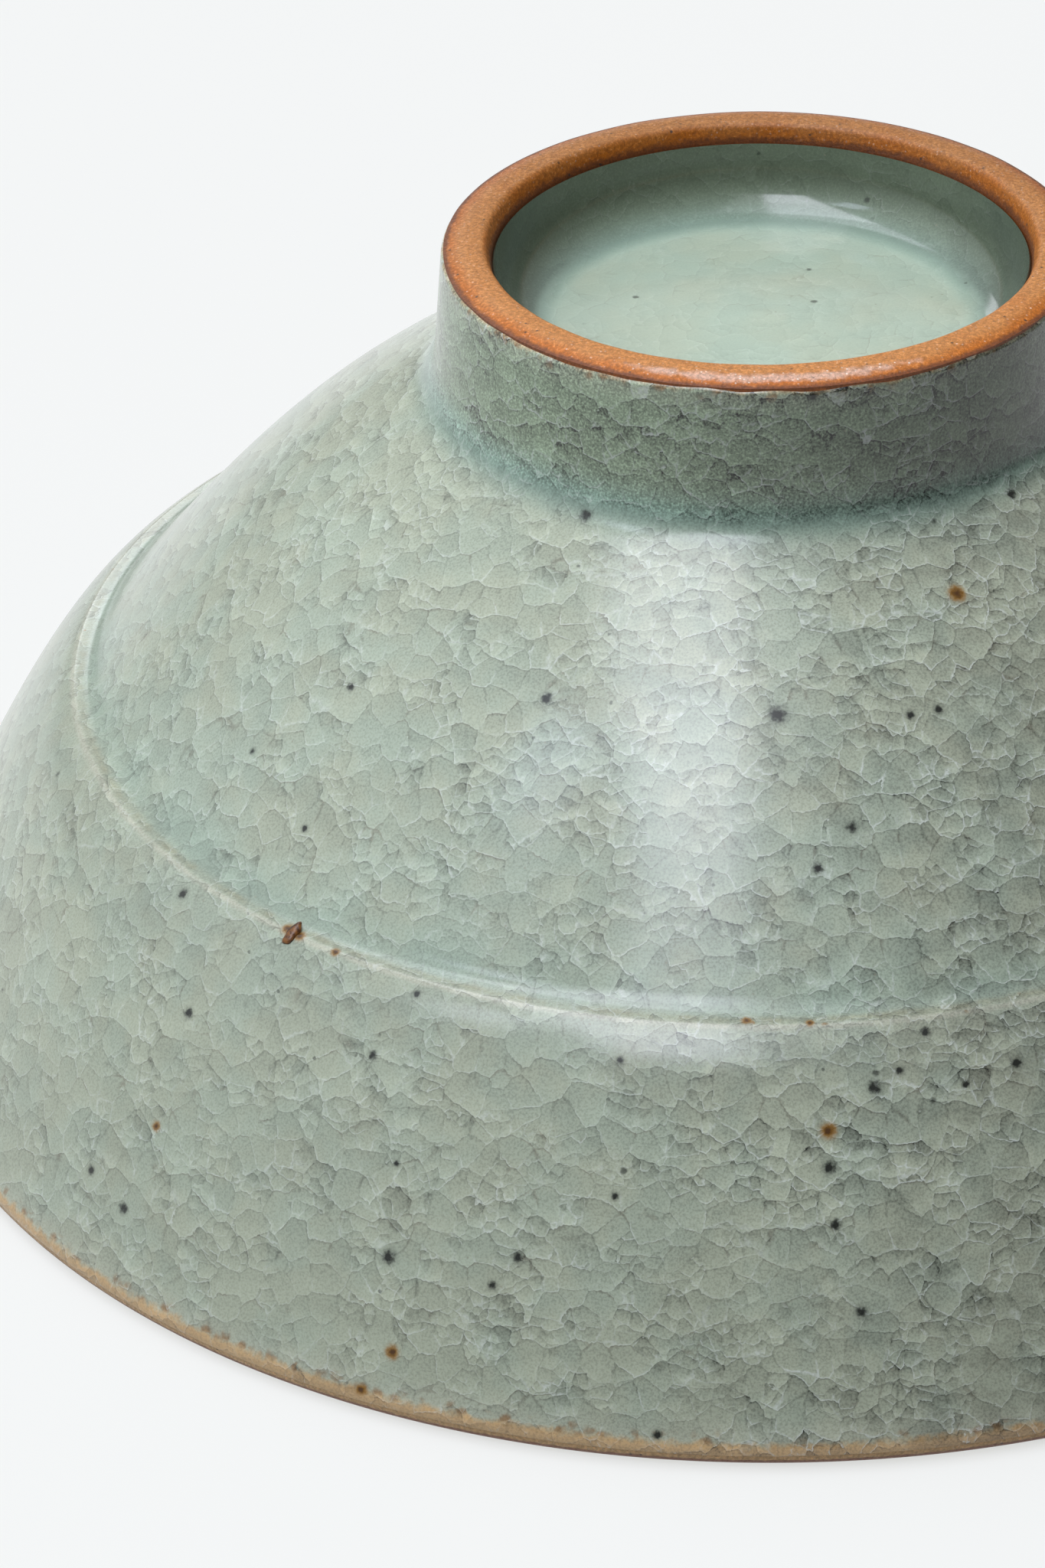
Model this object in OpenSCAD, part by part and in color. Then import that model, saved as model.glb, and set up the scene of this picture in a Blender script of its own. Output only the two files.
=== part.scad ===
// Tea bowl of thrown stoneware with a celadon glaze, resting upside down on its rim.
// The axis of the bowl is Z, the rim stands on z = 0 and the face of the foot is on top.

/* [Bowl] */
// Diameter over the outside of the lip
rim_d = 140.8; // [134:0.2:148]
// Height from the rim to the face of the foot
bowl_h = 65.7; // [63:0.1:69]
// Diameter of the turned ridge round the side
ridge_d = 110; // [106:0.5:113]
// Height of the ridge above the rim
ridge_h = 28.8; // [26:0.1:31]
// Radius of the half-round lip
lip_round = 1.5; // [1.2:0.1:2.2]
// Thickness of the base under the foot's well
base_t = 7; // [5:0.1:9]

/* [Foot] */
// Diameter of the foot at the edge of the glaze
foot_d = 49.7; // [48:0.1:53]
// Height of the foot's face above the shoulder
foot_h = 12.6; // [11:0.1:14]
// Inner diameter of the flat face
face_inner_d = 42.8; // [41:0.1:44]
// Outer diameter of the flat face
face_outer_d = 46.4; // [45:0.1:47.5]
// Depth of the well inside the foot
well_depth = 6.9; // [5.5:0.1:8]
// Rise of the well's floor at its middle
well_dome = 0.5; // [0:0.1:1]

/* [Glaze] */
// Thickness of the coat on an open wall
glaze_t = 0.6; // [0.4:0.05:0.8]
// Thickness where the glaze pools in a hollow
pool_t = 1.1; // [0.8:0.05:1.4]
// Thickness where the glaze draws thin over the ridge
thin_t = 0.25; // [0.2:0.05:0.4]
// Thickness of the coat at its edges
edge_t = 0.2; // [0.15:0.05:0.3]

/* [Hidden] */
$fn = 180;

// Slopes in degrees below level: those of the outside run from the foot to the lip
foot_slope = 86;
shoulder_top_slope = 32;
shoulder_end_slope = 50;
ledge_slope = 8;
wall_top_slope = 24;
wall_end_slope = 66;
well_slope = 96;
inward = 180;

// How far each curve keeps to its slope at its start and at its end
root_pull = [2.4, 1.8];
shoulder_pull = [14.7, 13.4];
ledge_pull = [1.3, 1.2];
wall_pull = [4.2, 20];
inside_pull = [26, 31];
well_pull = [4.6, 3.2];

// Counts of points on each curve
ring_n = 6;
root_n = 10;
shoulder_n = 16;
ledge_n = 8;
wall_n = 24;
lip_n = 14;
inside_n = 30;
well_n = 14;

// Drop from the flat face to the glaze outside the foot, and the bevel down to the glaze inside it
outer_bevel_drop = 0.5;
inner_bevel_drop = 1.5;
inner_bevel_w = 0.7;

// Width of the hollow at the root of the foot, and the ledge that rests on the ridge
root_w = 2.6;
ledge_l = 2.6;
ledge_fall = 25;

// Step in from the well's edge to the corner of its clay, and the width of the cove in that corner
well_corner_step = 0.8;
well_cove = 4.5;

// Heights on the axis of the well's floor, of the clay base under it and of the inside
well_floor = bowl_h - well_depth;
base_z = well_floor - glaze_t;
inside_top = well_floor - base_t;

// Points where one curve of the outside hands over to the next
foot_edge = [foot_d / 2, bowl_h - outer_bevel_drop];
ring_foot = foot_edge + heading(foot_slope, (foot_edge[1] - base_z) / sin(foot_slope));
shoulder_top = [foot_d / 2 + root_w, bowl_h - foot_h];
ridge = [ridge_d / 2, ridge_h];
ledge_start = ridge - heading(ledge_fall, ledge_l);
lip_axis = [rim_d / 2 - lip_round, lip_round];
lip_outside = lip_axis + (lip_round + edge_t) * facing(90 - wall_end_slope);
lip_inside = lip_axis - (lip_round + edge_t) * facing(90 - wall_end_slope);

// Edge of the glaze inside the foot, and where the clay walls of the well meet its floor
well_edge = [face_inner_d / 2 - inner_bevel_w, bowl_h - inner_bevel_drop];
well_corner_r = well_edge[0] - well_corner_step;

// A step of a given length along a slope below level
function heading(slope, length) = length * [cos(slope), -sin(slope)];

// A unit vector at an angle above level
function facing(angle) = [cos(angle), sin(angle)];

// Points of a straight stretch, without its last point
function straight(a, b, n) = [for (i = [0 : n - 1]) a + (b - a) * i / n];

// Points of a cubic curve, without its last point
function curve(p, n) = [
    for (i = [0 : n - 1])
        let (t = i / n, u = 1 - t)
            u ^ 3 * p[0] + 3 * u * u * t * p[1] + 3 * u * t * t * p[2] + t ^ 3 * p[3]
];

// A curve from a to b that leaves and arrives along given slopes
function blend(a, slope_a, b, slope_b, pull, n) =
    curve([a, a + heading(slope_a, pull[0]), b - heading(slope_b, pull[1]), b], n);

// Points of an arc between two angles above level
function arc(centre, radius, start, end, n) = [
    for (i = [0 : n]) centre + radius * facing(start + (end - start) * i / n)
];

// Values along a curve of n points, read from pairs of share and value
function along(n, pairs) = [for (i = [0 : n - 1]) lookup(i / n, pairs)];

// Direction square to a path, on its glazed side
function square_to(path, i) =
    let (d = path[min(i + 1, len(path) - 1)] - path[max(i - 1, 0)])
        [-d[1], d[0]] / norm(d);

// A path moved into the clay by a depth at each point
function inset(path, depth) = [
    for (i = [0 : len(path) - 1]) path[i] - depth[i] * square_to(path, i)
];

// The points of a path from one place to another, and the path backwards
function part_of(path, start, end) = [for (i = [start : end]) path[i]];
function reversed(path) = [for (i = [len(path) - 1 : -1 : 0]) path[i]];

// Glazed outside, followed from the foot's edge to the lip
glazed_outside = concat(
    straight(foot_edge, ring_foot, ring_n),
    blend(ring_foot, foot_slope, shoulder_top, shoulder_top_slope, root_pull, root_n),
    blend(shoulder_top, shoulder_top_slope, ledge_start, shoulder_end_slope, shoulder_pull, shoulder_n),
    blend(ledge_start, shoulder_end_slope, ridge, ledge_slope, ledge_pull, ledge_n),
    blend(ridge, wall_top_slope, lip_outside, wall_end_slope, wall_pull, wall_n),
    [lip_outside]
);

// Thickness of the coat at each of those points: it pools at the foot and above the ridge
outside_coat = concat(
    along(ring_n, [[0, edge_t], [0.2, glaze_t], [1, glaze_t]]),
    along(root_n, [[0, glaze_t], [0.7, pool_t], [1, pool_t]]),
    along(shoulder_n, [[0, pool_t], [0.2, glaze_t], [1, glaze_t]]),
    along(ledge_n, [[0, glaze_t], [0.5, pool_t], [1, thin_t]]),
    along(wall_n, [[0, thin_t], [0.12, glaze_t], [0.9, glaze_t], [1, edge_t]]),
    [edge_t]
);

// Half-round lip of bare clay
lip = arc(lip_axis, lip_round, 90 - wall_end_slope, -90 - wall_end_slope, lip_n);

// Clay under the outer coat, which ends where the lip begins
outside_last = len(glazed_outside) - 1;
clay_outside = concat(part_of(inset(glazed_outside, outside_coat), 0, outside_last - 1), [lip[0]]);

// Glazed inside, followed from the lip to the axis, and the clay under it
inside_axis = [0, inside_top];
glazed_inside = blend(lip_inside, wall_end_slope + inward, inside_axis, inward, inside_pull, inside_n);
inside_coat = along(inside_n, [[0, edge_t], [0.1, glaze_t], [1, glaze_t]]);
clay_inside = concat([lip[lip_n]], part_of(inset(glazed_inside, inside_coat), 1, inside_n - 1));
clay_inside_axis = inside_axis + [0, glaze_t];

// Clay joint between the foot ring and the base of the bowl
joint_outer = clay_outside[ring_n];
joint_z = joint_outer[1];
joint_inner = [well_corner_r, joint_z];
base_axis = [0, joint_z + well_dome];

// Glazed surface of the well, followed from its edge to the axis, and its edge on the clay
well_axis = [0, well_floor + well_dome];
well_floor_start = [well_corner_r - well_cove, well_floor];
glazed_well = concat(
    blend(well_edge, well_slope, well_floor_start, inward, well_pull, well_n),
    [well_floor_start, well_axis]
);
well_clay_edge = well_edge + [edge_t, 0];

// Thrown bowl of bare clay: the wall, the turned ridge, the lip and the base for the foot
module bowl_body() {
    color([0.72, 0.58, 0.43])
        rotate_extrude()
            polygon(concat(
                [base_axis, joint_inner],
                part_of(clay_outside, ring_n, outside_last - 1),
                lip,
                part_of(clay_inside, 1, inside_n - 1),
                [clay_inside_axis]
            ));
}

// Foot ring of bare clay: a flat face between two bevels, on the base of the bowl
module foot_ring() {
    color([0.74, 0.47, 0.28])
        rotate_extrude()
            polygon(concat(
                [joint_inner, well_clay_edge, [face_inner_d / 2, bowl_h], [face_outer_d / 2, bowl_h]],
                part_of(clay_outside, 0, ring_n)
            ));
}

// Coat of glass over the outside
module outer_glaze() {
    color([0.65, 0.70, 0.65])
        rotate_extrude()
            polygon(concat(glazed_outside, reversed(clay_outside)));
}

// Coat of glass over the inside
module inner_glaze() {
    color([0.68, 0.73, 0.68])
        rotate_extrude()
            polygon(concat(glazed_inside, [inside_axis, clay_inside_axis], reversed(clay_inside)));
}

// Coat of glass in the well of the foot, thickest in the corner of the floor
module foot_well_glaze() {
    color([0.62, 0.70, 0.65])
        rotate_extrude()
            polygon(concat(glazed_well, [base_axis, joint_inner, well_clay_edge]));
}

bowl_body();
foot_ring();
outer_glaze();
inner_glaze();
foot_well_glaze();
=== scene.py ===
"""Looks of a thrown tea bowl, upside down on its rim: crackled celadon, and bare clay at foot and lip."""
import math

import bpy
import numpy as np
from mathutils import Matrix, Vector


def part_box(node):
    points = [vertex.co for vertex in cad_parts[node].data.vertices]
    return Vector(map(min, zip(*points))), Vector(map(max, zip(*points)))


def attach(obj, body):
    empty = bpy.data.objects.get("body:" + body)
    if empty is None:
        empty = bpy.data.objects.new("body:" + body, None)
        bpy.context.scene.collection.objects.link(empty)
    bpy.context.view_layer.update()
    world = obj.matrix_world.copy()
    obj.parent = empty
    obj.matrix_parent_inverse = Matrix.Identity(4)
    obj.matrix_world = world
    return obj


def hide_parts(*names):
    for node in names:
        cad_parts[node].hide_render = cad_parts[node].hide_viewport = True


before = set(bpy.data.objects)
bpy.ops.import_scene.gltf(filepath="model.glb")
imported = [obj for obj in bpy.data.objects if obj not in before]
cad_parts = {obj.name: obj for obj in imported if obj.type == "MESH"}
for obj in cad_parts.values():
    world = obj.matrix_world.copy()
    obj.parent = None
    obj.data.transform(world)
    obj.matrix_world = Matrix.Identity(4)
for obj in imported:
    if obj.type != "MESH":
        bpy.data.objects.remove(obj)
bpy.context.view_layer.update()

MM = 0.001

# Photograph's frame in pixels, and the camera that took it, with its place in metres
PHOTO_W = 1365
PHOTO_H = 2048
FOCAL_PX = 8000
SENSOR = 36
CAMERA_AT = Vector((0, -429.6, 272.0)) * MM
CAMERA_YAW = math.radians(-2.55)
CAMERA_PITCH = math.radians(30.73)
CAMERA_ROLL = math.radians(-0.86)
CLIP_START = 0.01

# Sizes of the bowl in mm, as the solids have them
BOWL_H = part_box("foot_ring")[1].z / MM
RIM_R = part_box("bowl_body")[1].x / MM
RIDGE = np.array([55.0, 28.8])
LIP_ROUND = 1.5
FOOT_R = 24.85
FOOT_DROP = 0.5
FOOT_H = 12.6
ROOT_W = 2.6
LEDGE_L = 2.6
LEDGE_FALL = 25
FACE_INNER_R = 21.4
FACE_OUTER_R = 23.2
INNER_BEVEL_W = 0.7
INNER_BEVEL_DROP = 1.5
WELL_DEPTH = 6.9
WELL_DOME = 0.5
WELL_CORNER_STEP = 0.8
WELL_EDGE = np.array([FACE_INNER_R - INNER_BEVEL_W, BOWL_H - INNER_BEVEL_DROP])
WELL_CORNER_R = WELL_EDGE[0] - WELL_CORNER_STEP
WELL_COVE = 4.5
BASE_T = 7.0
GLAZE_T = 0.6
EDGE_T = 0.2

# Slopes in degrees below level: those of the outside run from the foot to the lip
FOOT_SLOPE = 86
SHOULDER_TOP_SLOPE = 32
SHOULDER_END_SLOPE = 50
LEDGE_SLOPE = 8
WALL_TOP_SLOPE = 30
WALL_END_SLOPE = 66
WELL_SLOPE = 96
INWARD = 180

# How far each curve keeps to its slope at its start and at its end, in mm
ROOT_PULL = (2.4, 1.8)
SHOULDER_PULL = (14.7, 13.4)
LEDGE_PULL = (1.3, 1.2)
WALL_PULL = (3.2, 20)
INSIDE_PULL = (26, 31)
WELL_PULL = (4.6, 3.2)

# Rounded edge of the glaze at the foot, cuts that soften the edges of the foot's face,
# and what is left of the coat at the lip, in mm
FOOT_ROLL = 0.45
INNER_CUT = 0.5
OUTER_CUT = 0.5
HEM_T = 0.05

# Angle round the lip at which the outer glaze ends, in degrees above level
LIP_GLAZE_END = -8

# How much wider the tan hem of the glaze is at the lip, and how much narrower at the foot, in mm
LIP_HEM = 0.35
FOOT_HEM = 0.25

# Steps round the axis, strips of a map, the share of height that hidden rows get in it, and how full it is
SEGMENTS = 320
UV_STRIPS = 2
HIDDEN_SHARE = 0.04
MAP_FILL = 0.98

# Edges sharper than this stay sharp, in degrees
SHARP_ANGLE = 50

# Least length that is divided by
TINY = 1e-9

# Counts of points on each stretch of a profile
ROLL_N = 8
RING_N = 22
ROOT_N = 24
SHOULDER_N = 64
LEDGE_N = 24
WALL_N = 90
LIP_HEM_N = 10
LIP_N = 36
INSIDE_N = 90
WELL_WALL_N = 40
WELL_FLOOR_N = 24
INNER_WALL_N = 8
INNER_BEVEL_N = 10
CUT_N = 10
OUTER_BEVEL_N = 8
OUTER_WALL_N = 10


# Curves of the profile

def heading(slope, length):
    """A step along a slope below level."""
    return length * np.array([math.cos(math.radians(slope)), -math.sin(math.radians(slope))])


def facing(angle):
    """A unit vector at an angle above level."""
    return heading(-angle, 1.0)


def blend(a, slope_a, b, slope_b, pull, count):
    """Points of a cubic curve from a to b along given slopes, without its last point."""
    t = np.arange(count)[:, None] / count
    u = 1 - t
    leave = a + heading(slope_a, pull[0])
    arrive = b - heading(slope_b, pull[1])
    return u ** 3 * a + 3 * u * u * t * leave + 3 * u * t * t * arrive + t ** 3 * b


def arc(centre, radius, start, end, count):
    """Points of an arc, without its last point."""
    return np.array([centre + radius * facing(start + (end - start) * i / count) for i in range(count)])


def bend(before, corner, after, cut, count):
    """Points of a corner that is rounded from a cut before it to a cut after it, without the last point."""
    start = corner + cut * (before - corner) / np.linalg.norm(before - corner)
    end = corner + cut * (after - corner) / np.linalg.norm(after - corner)
    t = np.arange(count)[:, None] / count
    return (1 - t) ** 2 * start + 2 * t * (1 - t) * corner + t * t * end


def line(a, b, count):
    """Evenly spaced points of a straight stretch, without its last point."""
    return np.array([a + (b - a) * i / count for i in range(count)], float)


def lengths(path):
    """Distance along a path to each of its points."""
    steps = np.linalg.norm(np.diff(path, axis=0), axis=1)
    return np.concatenate([[0.0], np.cumsum(steps)])


def courses(path):
    """Unit vectors along a path."""
    course = np.gradient(path, axis=0)
    return course / np.maximum(np.linalg.norm(course, axis=1), TINY)[:, None]


def inset(path, depth):
    """A path moved square to itself, to the right of its course."""
    course = courses(path)
    return path - np.stack([-course[:, 1], course[:, 0]], axis=1) * np.reshape(depth, (-1, 1))


def wave(theta, low, high, seed):
    """A smooth curve round the axis, between about -1 and 1, of harmonics from low to high."""
    draws = np.random.default_rng(seed)
    total = np.zeros_like(theta)
    for k in range(low, high + 1):
        total += draws.normal() * np.cos(k * theta + draws.uniform(0, 2 * math.pi)) / math.sqrt(k)
    return total / np.abs(total).max()


# Points where one curve of the outside hands over to the next
well_floor = BOWL_H - WELL_DEPTH
base_z = well_floor - GLAZE_T
foot_edge = np.array([FOOT_R, BOWL_H - FOOT_DROP])
ring_foot = foot_edge + heading(FOOT_SLOPE, (foot_edge[1] - base_z) / math.sin(math.radians(FOOT_SLOPE)))
shoulder_top = np.array([FOOT_R + ROOT_W, BOWL_H - FOOT_H])
ledge_start = RIDGE - heading(LEDGE_FALL, LEDGE_L)
lip_axis = np.array([RIM_R - LIP_ROUND, LIP_ROUND])
lip_outside = lip_axis + (LIP_ROUND + HEM_T) * facing(90 - WALL_END_SLOPE)
lip_inside = lip_axis - (LIP_ROUND + HEM_T) * facing(90 - WALL_END_SLOPE)
inside_axis = np.array([0.0, well_floor - BASE_T])

glazed_outside = np.concatenate([
    arc(foot_edge - FOOT_ROLL, FOOT_ROLL, 90, 0, ROLL_N),
    line(foot_edge - np.array([0, FOOT_ROLL]), ring_foot, RING_N),
    blend(ring_foot, FOOT_SLOPE, shoulder_top, SHOULDER_TOP_SLOPE, ROOT_PULL, ROOT_N),
    blend(shoulder_top, SHOULDER_TOP_SLOPE, ledge_start, SHOULDER_END_SLOPE, SHOULDER_PULL, SHOULDER_N),
    blend(ledge_start, SHOULDER_END_SLOPE, RIDGE, LEDGE_SLOPE, LEDGE_PULL, LEDGE_N),
    blend(RIDGE, WALL_TOP_SLOPE, lip_outside, WALL_END_SLOPE, WALL_PULL, WALL_N),
    arc(lip_axis, LIP_ROUND + HEM_T, 90 - WALL_END_SLOPE, LIP_GLAZE_END, LIP_HEM_N),
])
glazed_inside = np.concatenate([
    blend(lip_inside, WALL_END_SLOPE + INWARD, inside_axis, INWARD, INSIDE_PULL, INSIDE_N),
    [inside_axis],
])


# Meshes

def made(name, mesh, material, slot_name, *nodes):
    """A piece of the bowl from its finished mesh."""
    piece = bpy.data.objects.new(name, mesh)
    bpy.context.scene.collection.objects.link(piece)
    mesh.materials.append(material)
    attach(piece, "root")
    if nodes:
        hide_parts(*nodes)
    return piece


def signed_volume(mesh):
    """Volume of a closed mesh, below zero where its faces point inwards."""
    mesh.calc_loop_triangles()
    corner = np.zeros(len(mesh.loop_triangles) * 3, np.int32)
    mesh.loop_triangles.foreach_get("vertices", corner)
    spots = np.zeros(len(mesh.vertices) * 3)
    mesh.vertices.foreach_get("co", spots)
    a, b, c = spots.reshape(-1, 3)[corner.reshape(-1, 3)].transpose(1, 0, 2)
    return np.einsum("ij,ij->i", a, np.cross(b, c)).sum()


def finished(mesh):
    """A mesh with its faces outwards, smooth but for its sharp edges."""
    mesh.validate()
    mesh.update()
    if signed_volume(mesh) < 0:
        mesh.flip_normals()
    mesh.shade_smooth()
    mesh.set_sharp_from_angle(angle=math.radians(SHARP_ANGLE))
    return mesh


def map_heights(profile, hidden, looped):
    """Share of a map's height at each point along a profile, with little for hidden rows."""
    ring = np.concatenate([profile, profile[:1]]) if looped else profile
    steps = np.linalg.norm(np.diff(ring, axis=0), axis=1)
    steps = np.where(hidden[:len(steps)], steps * HIDDEN_SHARE, steps)
    reach = np.concatenate([[0.0], np.cumsum(steps)])
    return MAP_FILL * reach / reach[-1]


def turned_faces(rows, looped, reach):
    """Faces of a turned profile as lists of points, and the place of each of their corners in the map."""
    per_strip = SEGMENTS // UV_STRIPS
    faces = []
    corners = []
    for i in range(SEGMENTS):
        after = (i + 1) % SEGMENTS
        strip, place = divmod(i, per_strip)
        left, right = place / per_strip, (place + 1) / per_strip
        for j in range(rows if looped else rows - 1):
            below = (j + 1) % rows
            low, high = (strip + reach[j]) / UV_STRIPS, (strip + reach[j + 1]) / UV_STRIPS
            ring = [(i * rows + j, left, low), (after * rows + j, right, low),
                    (after * rows + below, right, high), (i * rows + below, left, high)]
            if not looped and j == 0:
                ring[:2] = [(0, (left + right) / 2, low)]
            if not looped and below == rows - 1:
                ring[-2:] = [(rows - 1, (left + right) / 2, high)]
            faces.append([corner[0] for corner in ring])
            corners.extend(corner[1:] for corner in ring)
    return faces, corners


def set_trait(mesh, name, kind, field, values):
    """Gives each point of a mesh a value that its material reads."""
    attribute = mesh.attributes.new(name, kind, "POINT")
    attribute.data.foreach_set(field, values.astype(np.float32).ravel())


def revolve(name, profile, looped, hidden, shift, traits):
    """A closed mesh from a profile in mm turned round the axis.

    A looped profile closes on itself; any other begins and ends on the axis.
    hidden marks the rows that are out of sight, shift gives each point's move out and up in mm,
    and traits holds a value for each row of the profile.
    """
    theta = np.arange(SEGMENTS) * 2 * math.pi / SEGMENTS
    across, along = np.cos(theta)[:, None], np.sin(theta)[:, None]
    radius = np.repeat(profile[None, :, 0], SEGMENTS, axis=0)
    height = np.repeat(profile[None, :, 1], SEGMENTS, axis=0)
    out, up = shift(theta[:, None], radius, height)
    radius, height = radius + out, height + up
    spots = np.stack([radius * across, radius * along, height], axis=2).reshape(-1, 3) * MM
    faces, corners = turned_faces(len(profile), looped, map_heights(profile, hidden, looped))
    used = np.unique(np.concatenate([np.array(face) for face in faces]))
    fresh = np.full(len(spots), -1)
    fresh[used] = np.arange(len(used))
    mesh = bpy.data.meshes.new(name)
    mesh.from_pydata(spots[used].tolist(), [], [fresh[face].tolist() for face in faces])
    layer = mesh.uv_layers.new(name="OFBake")
    layer.uv.foreach_set("vector", np.array(corners, np.float32).ravel())
    course = courses(profile)
    down = np.repeat(course[None, :, 1], SEGMENTS, axis=0)
    fall = np.stack([course[:, 0] * across, course[:, 0] * along, down], axis=2)
    set_trait(mesh, "fall", "FLOAT_VECTOR", "vector", fall.reshape(-1, 3)[used])
    for key, values in traits.items():
        set_trait(mesh, key, "FLOAT", "value", np.tile(values, SEGMENTS)[used])
    return finished(mesh)


# Nodes of the materials

class Nodes:
    """Short names for making one tree of nodes."""

    def __init__(self, owner):
        owner.use_nodes = True
        self.owner = owner
        self.tree = owner.node_tree
        self.tree.nodes.clear()

    def put(self, socket, value):
        if isinstance(value, bpy.types.NodeSocket):
            self.tree.links.new(value, socket)
        else:
            socket.default_value = value

    def add(self, kind, inputs, **settings):
        node = self.tree.nodes.new(kind)
        for key, value in settings.items():
            setattr(node, key, value)
        for key, value in inputs.items():
            self.put(node.inputs[key], value)
        return node

    def math(self, operation, a, b=0.0, clamp=False):
        return self.add("ShaderNodeMath", {0: a, 1: b}, operation=operation, use_clamp=clamp).outputs[0]

    def total(self, first, *others):
        for other in others:
            first = self.math("ADD", first, other)
        return first

    def times(self, first, *others):
        for other in others:
            first = self.math("MULTIPLY", first, other)
        return first

    def vector(self, operation, a, b):
        node = self.add("ShaderNodeVectorMath", {0: a, 1: b}, operation=operation)
        return node.outputs["Value" if operation in ("DOT_PRODUCT", "DISTANCE") else "Vector"]

    def scaled(self, vector, factor):
        node = self.add("ShaderNodeVectorMath", {0: vector, "Scale": factor}, operation="SCALE")
        return node.outputs["Vector"]

    def ramp(self, value, low, high, start=0.0, end=1.0):
        """A smooth change from start to end as the value goes from low to high."""
        inputs = {0: value, 1: low, 2: high, 3: start, 4: end}
        return self.add("ShaderNodeMapRange", inputs, interpolation_type="SMOOTHSTEP").outputs[0]

    def hump(self, value, middle, half):
        """1 at the middle, falling to 0 at half a width to either side."""
        away = self.math("ABSOLUTE", self.math("SUBTRACT", value, middle))
        return self.ramp(away, 0.0, half, 1.0, 0.0)

    def mix(self, share, a, b):
        return self.add("ShaderNodeMix", {0: share, 6: a, 7: b}, data_type="RGBA").outputs[2]

    def noise(self, where, scale, detail=2.0, roughness=0.5):
        inputs = {"Vector": where, "Scale": scale, "Detail": detail, "Roughness": roughness}
        return self.add("ShaderNodeTexNoise", inputs).outputs["Fac"]

    def stir(self, where, scale, reach):
        """Places moved about by up to half of reach."""
        noise = self.add("ShaderNodeTexNoise", {"Vector": where, "Scale": scale, "Detail": 2.0})
        move = self.scaled(self.vector("SUBTRACT", noise.outputs["Color"], HALF), reach)
        return self.vector("ADD", where, move)

    def cells(self, where, scale, feature="F1"):
        return self.add("ShaderNodeTexVoronoi", {"Vector": where, "Scale": scale}, feature=feature).outputs

    def chances(self, cells):
        """Three random values of a cell."""
        return self.add("ShaderNodeSeparateColor", {0: cells["Color"]}).outputs

    def dots(self, where, spacing, radius, share):
        """Small soft dots, one to a cell in the given share of the cells."""
        cells = self.cells(where, 1 / spacing)
        near = self.ramp(cells["Distance"], DOT_CORE * radius / spacing, radius / spacing, 1.0, 0.0)
        return self.times(near, self.ramp(self.chances(cells)[0], 1 - share, 1 - DOT_FULL * share))

    def trait(self, name):
        return self.add("ShaderNodeAttribute", {}, attribute_name=name).outputs

    def millimetres(self):
        place = self.add("ShaderNodeTexCoord", {}).outputs["Object"]
        return self.scaled(place, 1 / MM)

    def end(self, shader, kind="ShaderNodeOutputMaterial"):
        self.tree.links.new(shader.outputs[0], self.add(kind, {}).inputs[0])
        return self.owner

    def finish(self, colour, roughness, height, depth, **constants):
        """Ends a material with one glossy shader; depth is the bump's full height in metres."""
        bump = self.add("ShaderNodeBump", {"Height": height, "Distance": depth})
        inputs = {"Base Color": colour, "Roughness": roughness, "Normal": bump.outputs[0]}
        inputs.update({key.replace("_", " "): value for key, value in constants.items()})
        return self.end(self.add("ShaderNodeBsdfPrincipled", inputs))


HALF = (0.5, 0.5, 0.5)

# Share of a dot's radius that is full, and share of the chosen cells whose dots have their full strength
DOT_CORE = 0.4
DOT_FULL = 0.8


def rgb(r, g, b):
    return (r, g, b, 1.0)


# Colours of the glaze
CELADON = rgb(0.362, 0.426, 0.332)
CELADON_WARM = rgb(0.385, 0.422, 0.315)
POOLED = rgb(0.26, 0.378, 0.305)
DEEP = rgb(0.31, 0.395, 0.265)
STAIN = rgb(0.27, 0.25, 0.18)
HEM_TAN = rgb(0.56, 0.375, 0.18)
HEM_RUST = rgb(0.27, 0.15, 0.06)
RIDGE_PALE = rgb(0.51, 0.515, 0.4)
RIDGE_TAN = rgb(0.33, 0.33, 0.215)
RUST = rgb(0.28, 0.125, 0.003)
RUST_DARK = rgb(0.055, 0.02, 0.004)
IRON = rgb(0.012, 0.014, 0.011)
# Pale of the crackle's rims, painted as highlights
RIM_HIGHLIGHT = rgb(0.70, 0.75, 0.70)

# Crackle: sizes of its flakes, of their bright rims, which are painted highlights, and of the painted shade
# beside them, in mm
LARGE_FLAKE = 2.05
SMALL_FLAKE = 1.1
RIM_W = 0.13
GLOW_W = 0.45
SHADE_W = 0.17

# How far a flake's tone changes over its body, painted darker at its top, under the flake above it, as
# painted shadow, and from flake to flake
FLAKE_TILT = 0.08
SHADE_DEPTH = 0.2
FLAKE_SPREAD = 0.13
RIM_GLOW = 0.05
RIM_SHARE = 0.55

# How far a flake's way down strays, and where on a flake, in its own size, its tone, rim and shade change
FLAKE_STRAY = 0.9
FLAKE_SPAN = 0.6
RIM_FROM = (-0.06, 0.3)
SHADE_FROM = (0.0, -0.35)
RIM_CHANCE = (0.1, 1.0, 0.2, 1.0)

# Painted light and shade on a thick coat, as a change of its tone along an axis: the axis, its start and end
# in mm, and the change at either end. Outside the coat is lit on the left and shaded on the right, and in the
# well its back is lit and its front shaded
OUTER_LIGHT_AND_SHADE = ((1.0, 0.0, 0.0), -25.0, 25.0, 0.58, -0.46)
WELL_LIGHT_AND_SHADE = ((0.0, 1.0, 0.0), 2.0, 18.0, -0.3, 0.24)

# Roughness of the glaze's surface
OUTER_GLOSS = 0.19
WELL_GLOSS = 0.12


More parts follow.
